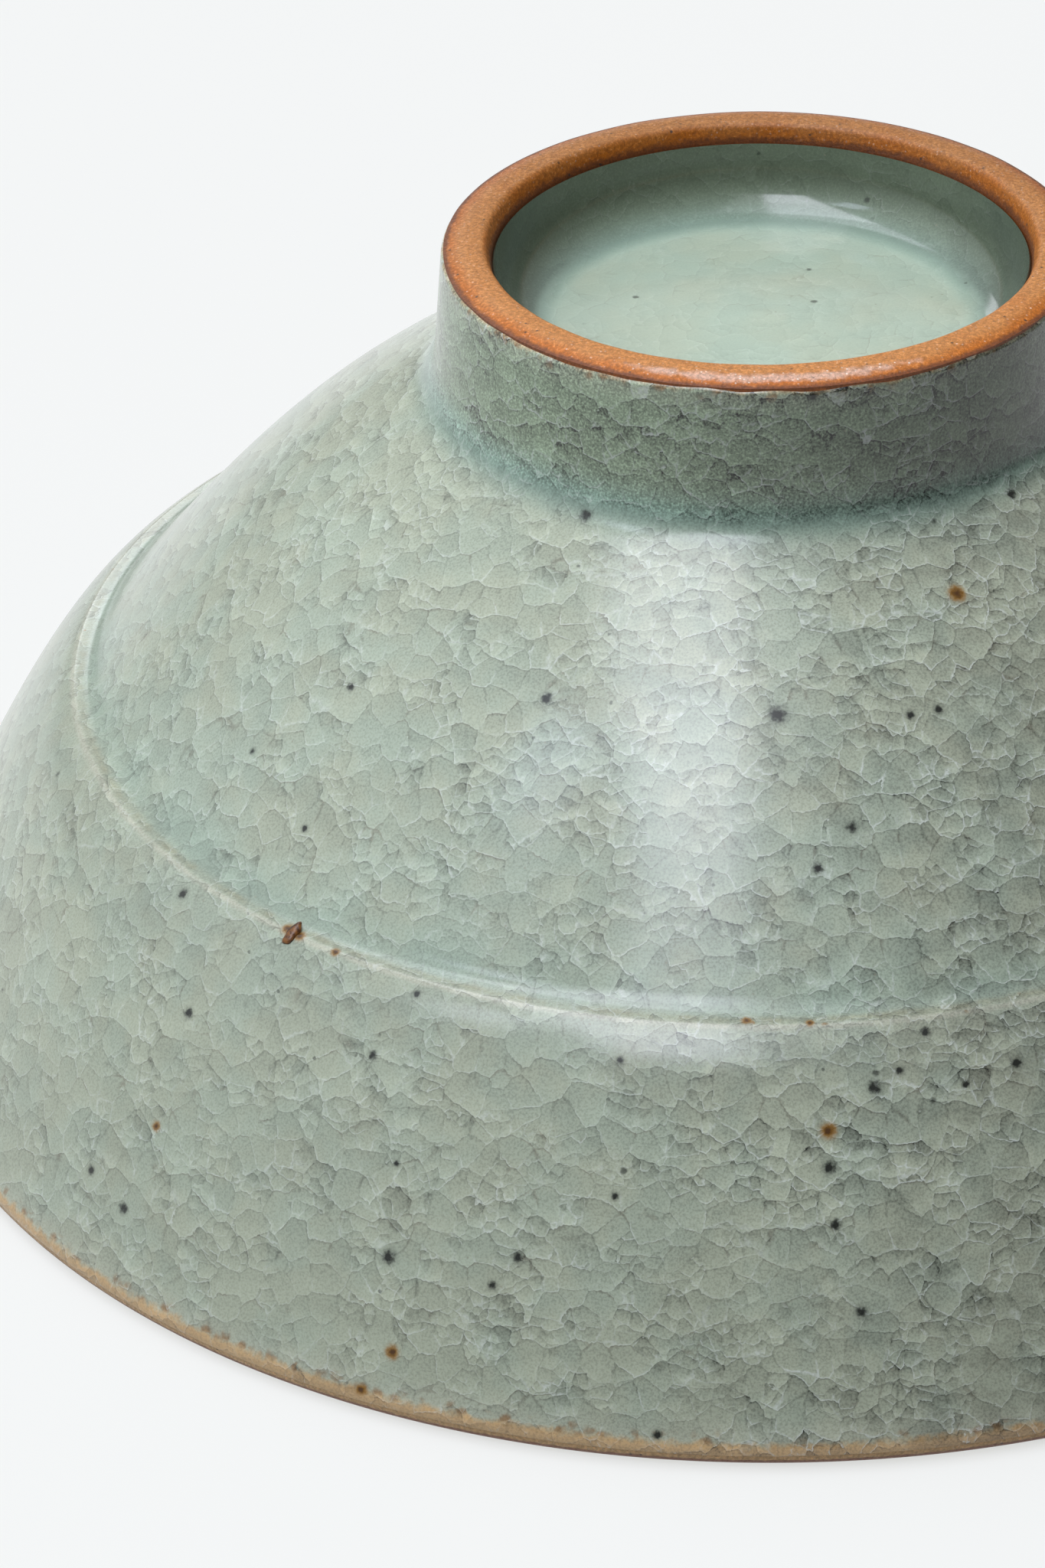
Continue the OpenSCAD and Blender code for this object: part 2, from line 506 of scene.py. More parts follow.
def flakes(n, where, fall, size):
    """A crackle of overlapping flakes in painted light and shade: each is darker at its top and ends below in
    a thin bright rim, a painted highlight.

    Returns the tone, about 0 on a plain flake, the rim's painted highlight, the painted shadow under the
    flake above, and a chance value.
    """
    near = n.cells(where, 1 / size)
    border = n.times(n.cells(where, 1 / size, "DISTANCE_TO_EDGE")["Distance"], size)
    own = n.chances(near)
    course = n.vector("ADD", fall, n.scaled(n.vector("SUBTRACT", near["Color"], HALF), FLAKE_STRAY))
    drop = n.times(n.vector("DOT_PRODUCT", n.vector("SUBTRACT", where, near["Position"]), course), 1 / size)
    body = n.ramp(drop, -FLAKE_SPAN, FLAKE_SPAN, -FLAKE_TILT, FLAKE_TILT)
    edge = n.ramp(border, 0.0, RIM_W, 1.0, 0.0)
    below = n.ramp(drop, *RIM_FROM)
    rim = n.times(edge, below, n.ramp(own[2], *RIM_CHANCE))
    glow = n.times(n.ramp(border, 0.0, GLOW_W, 1.0, 0.0), below, RIM_GLOW)
    shade = n.times(n.ramp(border, 0.0, SHADE_W, 1.0, 0.0), n.ramp(drop, *SHADE_FROM))
    chip = n.times(n.math("SUBTRACT", own[0], 0.5), FLAKE_SPREAD)
    return n.total(body, glow, n.times(shade, -SHADE_DEPTH), chip), rim, shade, own[1]


def speck_field(n, where, specks):
    """Distance to the nearest of the listed specks, over its radius."""
    field = None
    for centre, radius in specks:
        apart = n.times(n.vector("DISTANCE", where, centre), 1 / radius)
        field = apart if field is None else n.math("MINIMUM", field, apart)
    return field


# Settings of the materials. Noise: scale per mm, detail and roughness. A stir: scale and reach.
# Dots: spacing and radius in mm, and the share of cells with a dot. A row: middle and half width in mm.
# A ramp: the two values that it runs between and, where they aren't 0 and 1, the two results.

# Hem of the glaze
HEM_RAGGED = (0.9, 3.0, 0.65)
HEM_WAVER = -1.4
HEM_THIN = (0.6, 3.0, 0.35, 0.0)
HEM_EDGE = (0.15, 0.95, 1.0, 0.0)
BLOT_STIR = (1.1, 0.9)
BLOT_DOTS = (1.05, 0.66, 0.6)
BLOT_ROW = (0.75, 0.8)
BLOT_SHARE = 0.85


def hem_colour(n, place, colour, hem):
    """Glaze drawn thin at its edge, tan with rusty blotches above it; hem is the distance from the edge."""
    ragged = n.noise(place, *HEM_RAGGED)
    waver = n.math("ADD", hem, n.times(n.math("SUBTRACT", ragged, 0.5), HEM_WAVER))
    colour = n.mix(n.ramp(waver, *HEM_THIN), colour, RIDGE_PALE)
    blots = n.dots(n.stir(place, *BLOT_STIR), *BLOT_DOTS)
    colour = n.mix(n.times(blots, n.hump(waver, *BLOT_ROW), BLOT_SHARE), colour, HEM_RUST)
    return n.mix(n.ramp(waver, *HEM_EDGE), colour, HEM_TAN)


# Line of thin glaze over the ridge
RIDGE_PATCHES = (0.35, 3.0, 0.6)
RIDGE_BENDS = 0.8
RIDGE_WAVER = 0.4
HALO_ROW = (0.7, 1.8)
HALO_SHARE = 0.15
PALE_ROW = (0.1, 0.5)
PALE_SHARE = (0.3, 0.6, 0.5, 0.85)
TAN_ROW = (-0.55, 0.6)
TAN_SHARE = (0.35, 0.65, 0.15, 0.7)
RIDGE_STIR = (1.3, 0.6)
RIDGE_DOTS = (1.3, 0.3, 0.22)
RIDGE_DOT_ROW = (-0.25, 0.8)
RIDGE_DOT_SHARE = 0.8


def ridge_colour(n, place, colour, ridge):
    """Glaze drawn thin over the ridge: a pale line, tan above it, with rusty dots; ridge is the distance."""
    patchy = n.noise(place, *RIDGE_PATCHES)
    bends = n.math("SUBTRACT", n.noise(place, RIDGE_BENDS), 0.5)
    waver = n.math("ADD", ridge, n.times(bends, RIDGE_WAVER))
    halo = n.times(n.hump(waver, *HALO_ROW), HALO_SHARE)
    colour = n.mix(halo, colour, RIDGE_PALE)
    pale = n.times(n.hump(waver, *PALE_ROW), n.ramp(patchy, *PALE_SHARE))
    colour = n.mix(pale, colour, RIDGE_PALE)
    tan = n.times(n.hump(waver, *TAN_ROW), n.ramp(patchy, *TAN_SHARE))
    colour = n.mix(tan, colour, RIDGE_TAN)
    dots = n.dots(n.stir(place, *RIDGE_STIR), *RIDGE_DOTS)
    return n.mix(n.times(dots, n.hump(waver, *RIDGE_DOT_ROW), RIDGE_DOT_SHARE), colour, RUST)


# Crackle: how its flakes bend and are nicked, which split and darken, and where it is strong
FLAKE_BENDS = (0.22, 1.6)
FLAKE_NICKS = (3.0, 0.26)
SPLIT_FROM = (0.52, 0.56)
DARK_FROM = (0.82, 0.86)
DARK_CHIP = -0.12
SIDE_SPAN = (-50.0, 45.0)
SIDE_CRACKLE = (0.8, 1.42)
CLEAR_NOISE = (0.16, 2.0)
CLEAR = (0.3, 0.6, 0.65, 1.1)
CLEAR_THICK = (0.0, 1.0, 1.0, 1.7)
CLEAR_POOLED = (0.0, 0.9, 1.0, 0.62)
BLOTCH_NOISE = (0.4, 2.0)
BLOTCH = (0.35, 0.65, -0.15, 0.1)
BLOTCH_SPAN = (-30.0, 40.0)
BROKEN_NOISE = (2.6, 2.0)
BROKEN = (0.36, 0.58, 0.35, 1.0)

# Fine grain of the glaze, and the pale flecks in a thick coat
GRAIN_NOISE = (5.5, 3.0, 0.6)
GRAIN = (0.3, 0.62, -0.2, 0.08)
GRAIN_THICK = (0.0, 1.0, 1.0, 2.2)
FLECK = (0.54, 0.7)
FLECK_SHARE = 0.6


def crackled(n, place, thick, pool, across, crackle):
    """Crackle of a coat: its tone about 0, with its painted light and shade, its bright rims as painted
    highlights, its fine grain and the painted shade in its gaps.
    """
    where = n.stir(n.stir(place, *FLAKE_BENDS), *FLAKE_NICKS)
    fall = n.trait("fall")["Vector"]
    large, large_rim_highlight, gap, chance = flakes(n, where, fall, LARGE_FLAKE)
    small, small_rim_highlight, _, own = flakes(n, where, fall, SMALL_FLAKE)
    split = n.ramp(chance, *SPLIT_FROM)
    dark_chip = n.times(n.ramp(own, *DARK_FROM), DARK_CHIP)
    side = n.ramp(across, *SIDE_SPAN, SIDE_CRACKLE[0] * crackle, SIDE_CRACKLE[1] * crackle)
    clear = n.times(n.ramp(n.noise(place, *CLEAR_NOISE), *CLEAR), side)
    clear = n.times(clear, n.ramp(thick, *CLEAR_THICK), n.ramp(pool, *CLEAR_POOLED))
    relief = n.times(n.math("ADD", large, n.times(n.math("ADD", small, dark_chip), split)), clear)
    blotch = n.ramp(n.noise(place, *BLOTCH_NOISE), *BLOTCH)
    blotch = n.times(blotch, n.ramp(across, *BLOTCH_SPAN), crackle)
    broken = n.ramp(n.noise(place, *BROKEN_NOISE), *BROKEN)
    rim = n.times(n.math("MAXIMUM", large_rim_highlight, n.times(small_rim_highlight, split)), clear, broken)
    grit = n.noise(place, *GRAIN_NOISE)
    grain = n.times(n.ramp(grit, *GRAIN), side, n.ramp(thick, *GRAIN_THICK))
    fleck = n.times(n.ramp(grit, *FLECK), thick, FLECK_SHARE * crackle)
    return n.total(relief, blotch), rim, n.math("ADD", grain, fleck), gap


# Strewn dots of iron, stain and fine pepper, and the parts of a listed speck by distance over its radius
STREWN_STIR = (3.0, 0.3)
STREWN_DOTS = (4.5, 0.36, 0.25)
STREWN_SHARE = 0.7
STAIN_DOTS = (1.3, 0.12, 0.35)
STAIN_SHARE = 0.45
PEPPER_STIR = (2.6, 0.3)
PEPPER_DOTS = (2.7, 0.2, 0.22)
PEPPER_SHARE = 0.6
FUZZ_NOISE = (2.6, 3.0, 0.6)
IRON_FUZZ = 1.5
RUST_FUZZ = 0.6
RUST_HALO = (0.4, 1.6, 0.35, 0.0)
RUST_BODY = (0.4, 1.2, 0.9, 0.0)
RUST_CORE = (0.15, 0.8, 0.9, 0.0)
IRON_HALO = (0.2, 1.7, 0.4, 0.0)
IRON_CORE = (0.3, 1.0, 0.97, 0.0)


def specked(n, place, colour, iron, rust):
    """A glaze's colour with its strewn dots and with the listed specks of rust and iron."""
    fuzz = n.times(n.math("SUBTRACT", n.noise(place, *FUZZ_NOISE), 0.5), IRON_FUZZ)
    strewn = n.dots(n.stir(place, *STREWN_STIR), *STREWN_DOTS)
    colour = n.mix(n.times(strewn, STREWN_SHARE), colour, IRON)
    colour = n.mix(n.times(n.dots(place, *STAIN_DOTS), STAIN_SHARE), colour, STAIN)
    pepper = n.dots(n.stir(place, *PEPPER_STIR), *PEPPER_DOTS)
    colour = n.mix(n.times(pepper, PEPPER_SHARE), colour, IRON)
    if rust:
        apart = speck_field(n, place, rust)
        ragged = n.math("ADD", apart, n.times(fuzz, RUST_FUZZ))
        colour = n.mix(n.ramp(apart, *RUST_HALO), colour, RUST)
        colour = n.mix(n.ramp(ragged, *RUST_BODY), colour, RUST)
        colour = n.mix(n.ramp(ragged, *RUST_CORE), colour, RUST_DARK)
    if iron:
        apart = speck_field(n, place, iron)
        colour = n.mix(n.ramp(apart, *IRON_HALO), colour, IRON)
        colour = n.mix(n.ramp(n.math("ADD", apart, fuzz), *IRON_CORE), colour, IRON)
    return colour


# Strength of the crackle outside, and in the well and inside
OUTER_CRACKLE = 1.0
SOFT_CRACKLE = 0.2

# Tone below which a coat counts as thick, cloudy changes of tone, and how much darker the right side is
# painted, as shade on the side away from the light
# A coat that painted shade darkens in its tone counts as thick too
THICK_BELOW = (0.9, 0.6)
CLOUD_NOISE = (0.09, 3.0)
CLOUD = 0.16
RIGHT_SHADE_SPAN = (-1.0, 25.0)
RIGHT_SIDE_SHADE = 0.15

# Where the glaze is warm: in patches, towards its hem and towards the right
WARM_NOISE = (0.2, 3.0)
WARM = (0.35, 0.7)
WARM_HEM = (40.0, 15.0, 0.0, 0.4)
WARM_SIDE = (0.0, 50.0, 0.0, 0.5)

# Where it is stained brown: in gaps of the crackle, and as a film on the right
BROWN_NOISE = (0.5, 2.0)
BROWN_GAPS = (0.5, 0.7)
BROWN_GAP_SHARE = 0.5
BROWN_FILM = (0.35, 0.7)
BROWN_SIDE = (-5.0, 45.0, 0.0, 0.3)

# Surface of the glaze: its swell, the relief of its grain, its roughness, and its bump in metres
SWELL_NOISE = (0.7, 2.0)
SWELL = 1.4
GRAIN_RELIEF = 0.25
GLAZE_ROUGH = (-0.3, 0.3, 0.54, 0.42)
GLAZE_BUMP = 0.00002
GLAZE_SPECULAR = 0.15
GLASS_IOR = 1.5


def celadon_body(n, place, across, crackle, gap, hem):
    """Plain colour of the glaze: green, warm in patches and stained brown in the gaps of its crackle."""
    patch = n.ramp(n.noise(place, *WARM_NOISE), *WARM)
    patch = n.total(patch, n.ramp(hem, *WARM_HEM), n.ramp(across, *WARM_SIDE))
    brown = n.noise(place, *BROWN_NOISE)
    stained = n.times(gap, n.ramp(brown, *BROWN_GAPS), BROWN_GAP_SHARE)
    film = n.times(n.ramp(brown, *BROWN_FILM), n.ramp(across, *BROWN_SIDE), crackle)
    return n.mix(n.math("ADD", stained, film), n.mix(patch, CELADON, CELADON_WARM), STAIN)


def celadon(name, crackle, lean, gloss, iron=(), rust=()):
    """Pale green crackle glaze, blue-green where it pools, tan where it is thin, with specks of iron.

    crackle is the strength of the flakes, lean the painted light and shade of a thick coat as a change of its
    tone along an axis, and gloss the roughness of the surface. iron and rust list specks by centre and radius
    in mm.
    """
    n = Nodes(bpy.data.materials.new(name))
    place = n.millimetres()
    across = n.add("ShaderNodeSeparateXYZ", {0: place}).outputs[0]
    # Each row's tone, which holds painted light and shade as well
    depth = n.trait("tone")["Fac"]
    hem = n.trait("hem")["Fac"]
    pool = n.trait("pool")["Fac"]
    thick = n.ramp(depth, *THICK_BELOW)
    relief, rim, grain, gap = crackled(n, place, thick, pool, across, crackle)
    cloud = n.math("SUBTRACT", n.noise(place, *CLOUD_NOISE), 0.5)
    # Painted light and shade on a thick coat, changing along an axis
    axis, start, end, low, high = lean
    light_and_shade = n.ramp(n.vector("DOT_PRODUCT", place, axis), start, end, low, high)
    depth = n.times(depth, n.math("ADD", 1.0, n.times(thick, light_and_shade)))
    # Painted shade: the coat is darker on its right side, away from the light
    right_side_shade = n.ramp(across, *RIGHT_SHADE_SPAN, 1.0, 1.0 - RIGHT_SIDE_SHADE * crackle)
    tone = n.times(depth, n.total(1.0, relief, grain, n.times(cloud, CLOUD)), right_side_shade)
    body = celadon_body(n, place, across, crackle, gap, hem)
    body = n.mix(thick, body, DEEP)
    body = n.mix(pool, body, POOLED)
    body = ridge_colour(n, place, body, n.trait("ridge")["Fac"])
    body = hem_colour(n, place, body, hem)
    # Bright rims of the crackle, painted as highlights
    colour = n.mix(n.times(rim, RIM_SHARE), n.scaled(body, tone), n.scaled(RIM_HIGHLIGHT[:3], depth))
    colour = specked(n, place, colour, iron, rust)
    height = n.math("ADD", n.times(n.noise(place, *SWELL_NOISE), SWELL), n.times(grain, GRAIN_RELIEF))
    return n.finish(colour, n.ramp(grain, *GLAZE_ROUGH), height, GLAZE_BUMP,
                    IOR=GLASS_IOR, Specular_IOR_Level=GLAZE_SPECULAR,
                    Coat_Weight=1.0, Coat_Roughness=gloss, Coat_IOR=GLASS_IOR)


# Colours of the bare clay
CLAY_FACE = rgb(0.57, 0.228, 0.056)
CLAY_BEVEL = rgb(0.53, 0.145, 0.006)
# Dark of the burnt clay, also used for the painted shade under the lip
CLAY_CHAR_AND_SHADE = rgb(0.2, 0.055, 0.01)
CLAY_SAND = rgb(0.68, 0.36, 0.14)
# Colour of painted glints in the sand
CLAY_GLINT = rgb(0.9, 0.76, 0.64)
# Pale colour of wear, with a painted sheen on the foot's near edge
CLAY_WORN_AND_SHEEN = rgb(0.72, 0.48, 0.37)
CLAY_GRIT = rgb(0.03, 0.022, 0.018)
LIP_FACE = rgb(0.62, 0.40, 0.19)
LIP_SHADE = rgb(0.5, 0.31, 0.135)

# Sand in the clay, and how cloudy its colour is
CLAY_CLOUD = (0.25, 4.0, 0.6)
CLOUD_FLAT = (0.3, 0.7, -0.25, 0.25)
SAND_NOISE = (3.8, 4.0, 0.7)
SAND_PALE = (0.56, 0.72, 0.0, 0.5)
SAND_TONE = (0.28, 0.72, 0.62, 1.28)
GRIT_DOTS = (0.8, 0.17, 0.2)
GRIT_SHARE = 0.85

# Wear and painted sheen: the middle in mm of the stretch of the foot's edge that is palest, where a painted
# sheen lies over the wear, and how the two fade and show
WEAR_AND_SHEEN_AT = (1.0, -24.0, BOWL_H)
RUBBED_AND_SHEEN = (16.0, 5.0, 0.3, 1.1)
RAGGED_NOISE = (1.1, 3.0, 0.6)
WORN_RAGGED = 1.2
WEAR_AND_SHEEN_SHOWS = (0.4, 1.05, 0.0, 0.75)
# Painted glints: spacing and radius in mm, share of cells, and how they show with the wear
GLINT_DOTS = (0.36, 0.11, 0.4)
GLINT_SHOWS = (0.0, 0.8, 0.25, 0.95)

# Burnt edges and the painted shade under the lip, and how much darker the clay is towards the back, by mm
# from front to back
CHAR_AND_SHADE_RAGGED = 0.8
CHAR_AND_SHADE_SHOWS = (0.3, 0.85)
BACK_DARKENING = (-22.0, 22.0, 1.03, 0.74)

# Surface of the clay: its roughness, its finest sand, and its bump in metres
CLAY_ROUGH = (0.3, 0.7, 0.52, 0.36)
FINE_SAND = (7.0, 2.0)
FINE_SHARE = 0.4
CLAY_BUMP = 0.00006
CLAY_IOR = 1.45


def bare_clay(name, face, bevel):
    """Bare sandy stoneware with painted glints, pale where its edges wear and with a painted sheen on the
    foot's near edge, toasted where it meets the glaze, with painted shade under the lip, and darker towards
    the back.
    """
    n = Nodes(bpy.data.materials.new(name))
    place = n.millimetres()
    cloud = n.noise(place, *CLAY_CLOUD)
    sand = n.noise(place, *SAND_NOISE)
    flat = n.math("ADD", n.trait("flat")["Fac"], n.ramp(cloud, *CLOUD_FLAT), clamp=True)
    body = n.mix(flat, bevel, face)
    body = n.mix(n.ramp(sand, *SAND_PALE), body, CLAY_SAND)
    ragged = n.math("SUBTRACT", n.noise(place, *RAGGED_NOISE), 0.5)
    # Pale wear along the foot's edge, with a painted sheen over its near stretch
    rubbed_and_sheen = n.ramp(n.vector("DISTANCE", place, WEAR_AND_SHEEN_AT), *RUBBED_AND_SHEEN)
    wear_and_sheen = n.math("ADD", n.times(n.trait("wear_and_sheen")["Fac"], rubbed_and_sheen), n.times(ragged, WORN_RAGGED))
    body = n.mix(n.ramp(wear_and_sheen, *WEAR_AND_SHEEN_SHOWS), body, CLAY_WORN_AND_SHEEN)
    # Painted glints of light on the sand, strongest along the wear
    glints = n.times(n.dots(place, *GLINT_DOTS), n.ramp(wear_and_sheen, *GLINT_SHOWS))
    body = n.mix(glints, body, CLAY_GLINT)
    # Burnt clay where it meets the glaze, and painted shade under the lip
    burnt_and_shade = n.ramp(n.math("ADD", n.trait("char_and_shade")["Fac"], n.times(ragged, CHAR_AND_SHADE_RAGGED)), *CHAR_AND_SHADE_SHOWS)
    body = n.mix(burnt_and_shade, body, CLAY_CHAR_AND_SHADE)
    # Darker towards the back
    back_darkening = n.ramp(n.add("ShaderNodeSeparateXYZ", {0: place}).outputs[1], *BACK_DARKENING)
    tone = n.times(n.ramp(sand, *SAND_TONE), back_darkening)
    grit = n.times(n.dots(place, *GRIT_DOTS), GRIT_SHARE)
    colour = n.mix(grit, n.scaled(body, tone), CLAY_GRIT)
    height = n.total(sand, n.times(n.noise(place, *FINE_SAND), FINE_SHARE))
    return n.finish(colour, n.ramp(sand, *CLAY_ROUGH), height, CLAY_BUMP, IOR=CLAY_IOR)


# Colours and surface of the blister
BLISTER_BROWN = rgb(0.22, 0.085, 0.015)
BLISTER_DARK = rgb(0.06, 0.022, 0.01)
MOTTLE_NOISE = (2.2, 3.0, 0.6)
MOTTLE = (0.35, 0.65)
BLISTER_ROUGH = (0.3, 0.7, 0.22, 0.4)
BLISTER_BUMP = 0.00006


def blistered_iron(name):
    """Glassy brown iron of a burst blister."""
    n = Nodes(bpy.data.materials.new(name))
    mottle = n.noise(n.millimetres(), *MOTTLE_NOISE)
    colour = n.mix(n.ramp(mottle, *MOTTLE), BLISTER_DARK, BLISTER_BROWN)
    return n.finish(colour, n.ramp(mottle, *BLISTER_ROUGH), mottle, BLISTER_BUMP, IOR=GLASS_IOR)


# Camera, at the photograph's place

def camera_axes():
    """Right, up and forward of the camera."""
    flat = math.cos(CAMERA_PITCH)
    forward = Vector((math.sin(CAMERA_YAW) * flat, math.cos(CAMERA_YAW) * flat, -math.sin(CAMERA_PITCH)))
    right = Vector((math.cos(CAMERA_YAW), -math.sin(CAMERA_YAW), 0))
    up = right.cross(forward)
    level, lean = math.cos(CAMERA_ROLL), math.sin(CAMERA_ROLL)
    return level * right + lean * up, level * up - lean * right, forward


def add_camera():
    right, up, forward = camera_axes()
    data = bpy.data.cameras.new("photo_camera")
    data.sensor_width = SENSOR
    data.lens = FOCAL_PX * SENSOR / PHOTO_H
    data.clip_start = CLIP_START
    camera = bpy.data.objects.new("photo_camera", data)
    bpy.context.scene.collection.objects.link(camera)
    turn = Matrix((right, up, -forward)).transposed().to_4x4()
    camera.matrix_world = Matrix.Translation(CAMERA_AT) @ turn
    bpy.context.scene.camera = camera


def seen_at(piece, pixel):
    """Point of a piece, in mm, that the photograph shows at a pixel, and the way the piece faces there."""
    right, up, forward = camera_axes()
    across = (pixel[0] - PHOTO_W / 2) / FOCAL_PX
    down = (pixel[1] - PHOTO_H / 2) / FOCAL_PX
    hit, place, out, _ = piece.ray_cast(CAMERA_AT, forward + across * right - down * up)
    if not hit:
        raise ValueError(f"pixel {pixel} doesn't fall on {piece.name}")
    return place / MM, out


# Specks in the outer glaze: photograph's pixel and radius in mm
IRON_SPECKS = [
    ((714, 912), 0.55), ((1016, 933), 0.85), ((1113, 1081), 0.5), ((1068, 1134), 0.5), ((765, 673), 0.6),
    ((1189, 934), 0.4), ((1226, 927), 0.4), ((1208, 1347), 0.45), ((1142, 1420), 0.62), ((1083, 1525), 0.6),
    ((1092, 1600), 0.5), ((1126, 1714), 0.5), ((508, 1641), 0.65), ((676, 1642), 0.45), ((643, 1679), 0.4),
    ((161, 1578), 0.5), ((119, 1528), 0.45), ((246, 1323), 0.5), ((239, 1167), 0.5), ((486, 1378), 0.45),
    ((858, 1874), 0.45), ((544, 1298), 0.35), ((458, 897), 0.4), ((1262, 1416), 0.4), ((1321, 645), 0.5),
    ((330, 981), 0.35), ((398, 1082), 0.35), ((1328, 1388), 0.5), ((518, 1520), 0.3), ((810, 1385), 0.35),
    ((803, 1563), 0.35), ((1062, 519), 0.4), ((1175, 1398), 0.4),
]
RUST_SPECKS = [
    ((1250, 775), 0.75), ((1082, 1477), 0.65), ((512, 1766), 0.6), ((204, 1471), 0.45), ((975, 1333), 0.4),
    ((1058, 1336), 0.35), ((438, 1243), 0.4), ((472, 1815), 0.5), ((377, 1213), 0.6), ((392, 1222), 0.5),
]

# Blister of iron on the ridge: the pixels of its middle and of one end, and its half sizes in mm
BLISTER_AT = (382, 1219)
BLISTER_END = (395, 1211)
BLISTER_HALF = (0.98, 0.52, 0.3)
BLISTER_RINGS = 14
BLISTER_SIDES = 28

# Waves round an axis: how many, where they start in radians, and how high
BLISTER_SWELL = ((2, 0.5, 0.12), (5, 0.0, 0.08))
HAND_OUT = ((2, 0.7, 0.06), (3, 2.1, 0.04))
HAND_UP = ((2, 1.9, 0.05),)

# Distances from the rim, the axis and the foot's face over which the hand's waves grow, in mm
HAND_RISE = 20
HAND_LIFT = 25
HAND_REACH = 20
HAND_FOOT = 10

# Wavering edges of the glaze at the foot and of the foot's face: depth that moves, fade and size in mm,
# and the lowest harmonic, the highest and the seed
GLAZE_EDGE = (3, 2.5, 0.14)
GLAZE_EDGE_WAVE = (3, 40, 5)
FACE_EDGE = (1.4, 1.2, 0.10)
FACE_EDGE_WAVE = (2, 30, 8)

# Pools of the outer glaze: share, middle in mm from the root or the ridge, and widths in mm
ROOT_POOL = (0.9, -2.4, 1.7)
LEDGE_POOL = (0.35, -1.6, 2.6, 0.9)

# Tone of the outer coat, by mm from the foot's edge, the root, the ridge and the lip: painted shade darkens
# the foot's wall as far as the root and a band over the ridge, and the coat is a little darker towards the
# lip
FOOT_SHADE_TONES = ((0, 0.62), (1.5, 0.58))
ROOT_SHADE_TONES = ((-6, 0.52), (-3, 0.59), (-1.4, 0.96), (1, 1.0))
RIDGE_SHADE_TONES = ((-3, 1.0), (-0.8, 0.84), (1, 0.84), (9, 1.03))
LIP_TONES = ((-15, 1.0), (0, 0.93))

# Well and inside: the point of the well's wall that is its corner, pools, and tones by mm from that corner,
# which paint shade on the well's wall and light on its floor
WELL_CORNER_POINT = 30
WELL_POOL = (0.8, 2.0)
WELL_FLOOR_POOL = 0.3
WELL_SHADE_AND_LIGHT = ((-4, 0.3), (-0.5, 0.62), (1.5, 1.3))
WELL_EDGE_SHADE = 0.34
WELL_MIDDLE_LIGHT = 1.34
INSIDE_POOL = (0.6, 16)
FAR_AWAY = 99.0

# Hidden backs of the coats and sunken clay behind them, in mm, and the steps between their points
OUTER_BACK = 0.3
OUTER_BACK_STEP = 8
INNER_BACK = 0.4
INNER_BACK_STEP = 6
WELL_BACK = 0.2
WELL_EDGE_BACK = 0.15
CLAY_SINK = 0.15
CLAY_FIRST = 44
CLAY_STEP = 4
INNER_SINK = 0.3
INNER_SINK_STEP = 0.05
INNER_CLAY_STEP = 2
JOINT_SINK = 0.1
FOOT_SINK = 0.5

# Dark clay: painted shade under the lip, by degrees above level, and burnt clay on the foot, by mm from the
# glaze
LIP_UNDERSIDE_SHADE_AT = (-150, -60, -30, -14)
LIP_UNDERSIDE_SHADE = (0.3, 0.95, 0.9, 0)
LIP_FLAT = 0.5
OUTER_CHAR_W = 0.85
INNER_CHAR_W = 1.2

# Foot's face in mm: the depth to which it is seen, its fading edges, and the place of its worn edge
FOOT_SEEN = 1.6
FACE_FADE = 0.3
BEVEL_FADE = 0.7
WORN_STEP = (0.4, -0.1)
WORN_W = 1.1


# Pieces of the bowl

def waves(theta, parts):
    """Sum of a few waves round an axis."""
    return sum(size * np.sin(count * theta + start) for count, start, size in parts)


def rising(value, span):
    """0 at nothing, rising to 1 over a span."""
    return np.clip(value / span, 0, 1)


def hand(theta, radius, height):
    """Small unevenness of a bowl thrown by hand, as moves out and up in mm."""
    out = waves(theta, HAND_OUT) * rising(height, HAND_RISE) * rising(radius, HAND_REACH)
    up = waves(theta, HAND_UP) * rising(height, HAND_LIFT) * rising(BOWL_H - height, HAND_FOOT)
    return out, up


def outer_shift(theta, radius, height):
    """The hand's unevenness, and the wavering edge of the glaze at the foot."""
    out, up = hand(theta, radius, height)
    depth, fade, size = GLAZE_EDGE
    edge = size * wave(theta, *GLAZE_EDGE_WAVE) - size
    return out, up + edge * rising(height - (BOWL_H - depth), fade)


def foot_shift(theta, radius, height):
    """The hand's unevenness, and edges of the foot's face that waver as a sponge leaves them."""
    out, up = hand(theta, radius, height)
    depth, fade, size = FACE_EDGE
    side = np.sign(radius - (FACE_INNER_R + FACE_OUTER_R) / 2)
    waver = size * wave(theta, *FACE_EDGE_WAVE) * side
    return out + waver * rising(height - (BOWL_H - depth), fade), up


def bell(value, width):
    """1 at nothing, falling off to either side over a width."""
    return np.exp(-(value / width) ** 2)


def outer_traits(path):
    """Where the outer coat pools, its tone with the painted shade in it, and each row's distance from the
    ridge and from the lip.
    """
    reach = lengths(path)

    def at(point):
        return reach[np.argmin(np.linalg.norm(path - point, axis=1))]

    root, ridge, lip = at(shoulder_top), at(RIDGE), reach[-1]
    share, step, width = ROOT_POOL
    pool = share * bell(reach - root - step, width)
    share, step, above, below = LEDGE_POOL
    from_ledge = reach - ridge - step
    pool = np.maximum(pool, share * bell(from_ledge, np.where(from_ledge < 0, above, below)))
    marks = ((0, FOOT_SHADE_TONES), (root, ROOT_SHADE_TONES), (ridge, RIDGE_SHADE_TONES), (lip, LIP_TONES))
    places = [mark + away for mark, tones in marks for away, _ in tones]
    tones = [tone for _, tones in marks for _, tone in tones]
    return {
        "pool": pool,
        "tone": np.interp(reach, places, tones),
        "ridge": reach - ridge,
        "hem": np.minimum(lip - reach - LIP_HEM, reach + FOOT_HEM),
    }


